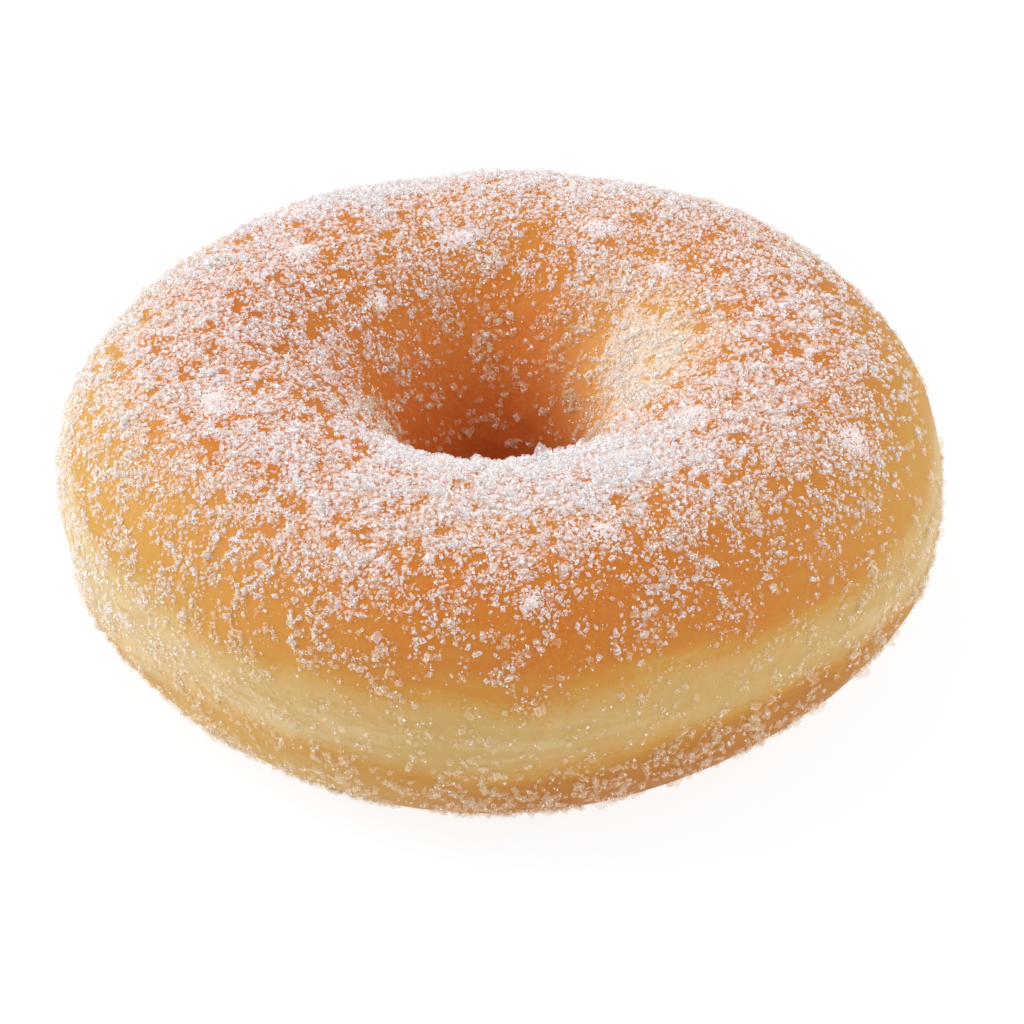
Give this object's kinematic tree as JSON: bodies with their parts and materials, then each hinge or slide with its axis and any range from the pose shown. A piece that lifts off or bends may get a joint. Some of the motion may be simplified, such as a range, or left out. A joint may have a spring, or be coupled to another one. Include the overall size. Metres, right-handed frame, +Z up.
{
  "type": "sugar doughnut",
  "caption": "Raised ring doughnut rolled in sugar: a browned, slightly uneven dough ring with a funnel-shaped hole, pale waist band and caked sugar, resting on a flat foot.",
  "frame": {"origin": "on the table, under the middle of the hole", "axes": "+Z up along the hole, -Y towards the side that the picture shows in front, +X to its right"},
  "size_m": [0.0907, 0.0903, 0.0343],
  "materials": {
    "sugared_crust": "fried dough crust, golden brown with a pale waist band, matt",
    "sugar": "white granulated sugar, small clear crystals with a soft sparkle"
  },
  "bodies": {
    "root": {"doughnut": "sugared_crust"}
  },
  "joints": []
}
